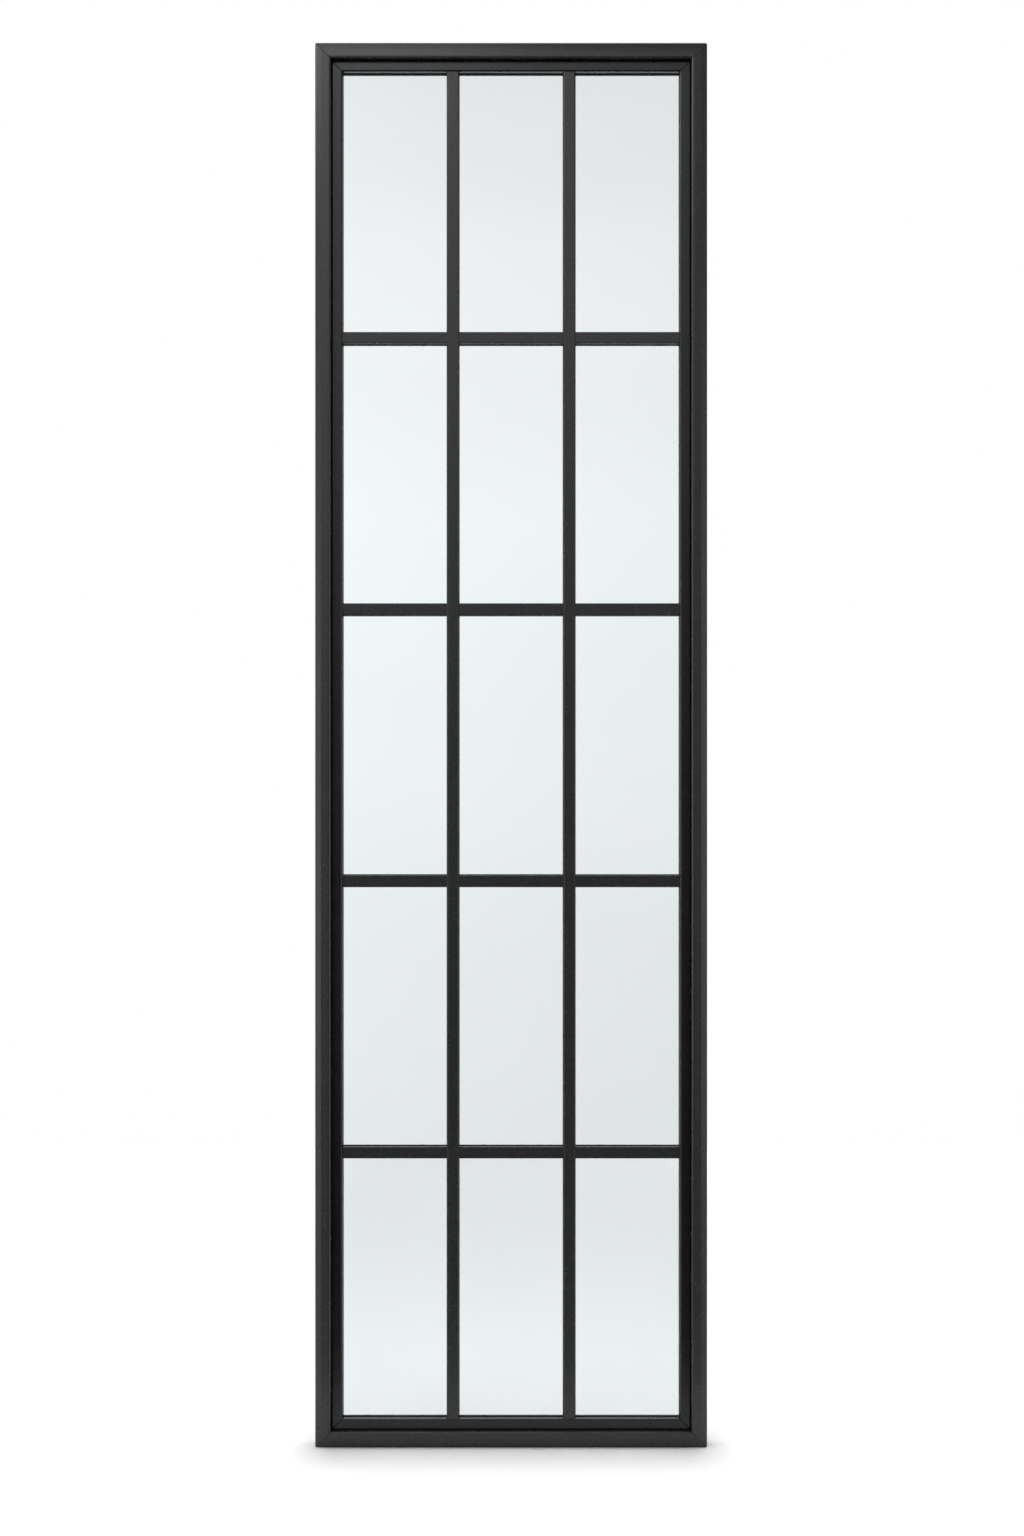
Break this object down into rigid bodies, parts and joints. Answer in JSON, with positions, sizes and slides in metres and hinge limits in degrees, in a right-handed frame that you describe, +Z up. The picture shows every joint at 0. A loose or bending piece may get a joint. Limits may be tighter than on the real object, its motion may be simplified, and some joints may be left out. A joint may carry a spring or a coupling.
{
  "type": "steel framed window",
  "caption": "Tall fixed window with a mitred hollow steel frame, recessed glazing stop, tee-section bars and rails, and clear panes held by rear beads.",
  "frame": {"origin": "middle of the underside of the sill", "axes": "+X across the window to the right as seen from the front, +Y from front to back, +Z up"},
  "size_m": [0.6, 0.05, 2.15],
  "materials": {
    "painted_steel": "satin black powder coat",
    "glass": "clear float glass",
    "sealant": "black glazing sealant"
  },
  "bodies": {
    "root": {"frame_head": "painted_steel", "frame_sill": "painted_steel", "frame_left_jamb": "painted_steel", "frame_right_jamb": "painted_steel", "glazing_stop_head": "painted_steel", "glazing_stop_sill": "painted_steel", "glazing_stop_left_jamb": "painted_steel", "glazing_stop_right_jamb": "painted_steel", "glazing_bar_left": "painted_steel", "glazing_bar_right": "painted_steel", "rail_1_left": "painted_steel", "rail_1_centre": "painted_steel", "rail_1_right": "painted_steel", "rail_2_left": "painted_steel", "rail_2_centre": "painted_steel", "rail_2_right": "painted_steel", "rail_3_left": "painted_steel", "rail_3_centre": "painted_steel", "rail_3_right": "painted_steel", "rail_4_left": "painted_steel", "rail_4_centre": "painted_steel", "rail_4_right": "painted_steel", "pane_1_left": "glass", "pane_1_centre": "glass", "pane_1_right": "glass", "pane_2_left": "glass", "pane_2_centre": "glass", "pane_2_right": "glass", "pane_3_left": "glass", "pane_3_centre": "glass", "pane_3_right": "glass", "pane_4_left": "glass", "pane_4_centre": "glass", "pane_4_right": "glass", "pane_5_left": "glass", "pane_5_centre": "glass", "pane_5_right": "glass", "beads_head": "painted_steel", "beads_rail_1": "painted_steel", "beads_rail_2": "painted_steel", "beads_rail_3": "painted_steel", "beads_rail_4": "painted_steel", "beads_sill": "painted_steel", "beads_left_jamb": "painted_steel", "beads_left_bar": "painted_steel", "beads_right_bar": "painted_steel", "beads_right_jamb": "painted_steel"}
  },
  "joints": []
}
